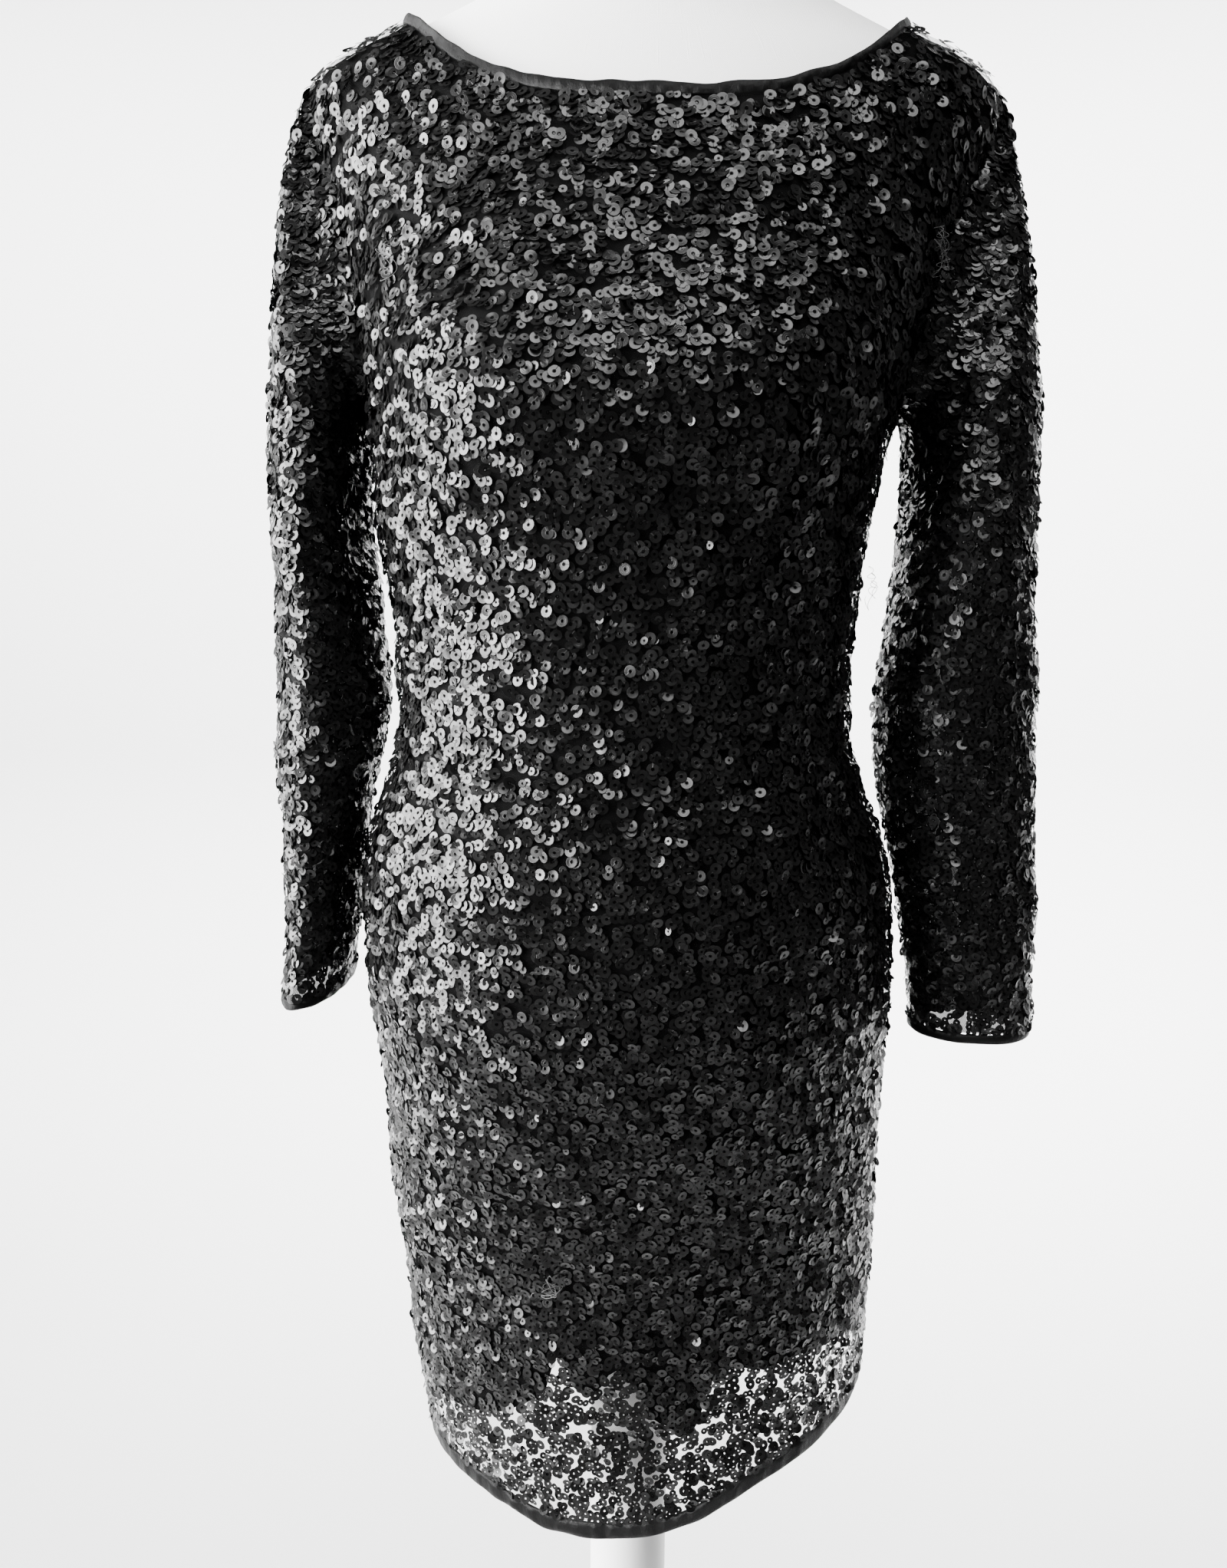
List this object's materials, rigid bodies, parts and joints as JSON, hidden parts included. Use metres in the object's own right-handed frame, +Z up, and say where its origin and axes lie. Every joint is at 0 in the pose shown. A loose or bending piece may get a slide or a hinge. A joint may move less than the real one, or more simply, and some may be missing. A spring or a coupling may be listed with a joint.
{
  "type": "long-sleeved sequin cocktail dress on a limbless dress form",
  "caption": "Fitted black sequin mini dress with a wide boat neck, long net sleeves and satin bindings, standing on a white linen dress form with a pole and round base",
  "frame": {"origin": "on the floor, in the middle of the object's bounding box", "axes": "+Z up, the dress's front faces -Y, the wearer's left is +X"},
  "size_m": [0.4382, 0.35, 1.46],
  "materials": {
    "sequin_net": "black stretch net covered with satin black sequins",
    "lining": "matt black jersey",
    "satin_binding": "black satin bias binding with a soft sheen",
    "linen": "smooth white linen with a fine weave",
    "white_paint": "smooth satin white paint"
  },
  "bodies": {
    "root": {"front": "sequin_net", "back": "sequin_net", "sleeve_left": "sequin_net", "sleeve_right": "sequin_net", "lining_front": "lining", "lining_back": "lining", "neck_binding": "satin_binding", "hem_binding": "satin_binding", "cuff_binding_left": "satin_binding", "cuff_binding_right": "satin_binding", "form_torso": "linen", "form_pole": "white_paint", "form_base": "white_paint"}
  },
  "joints": []
}
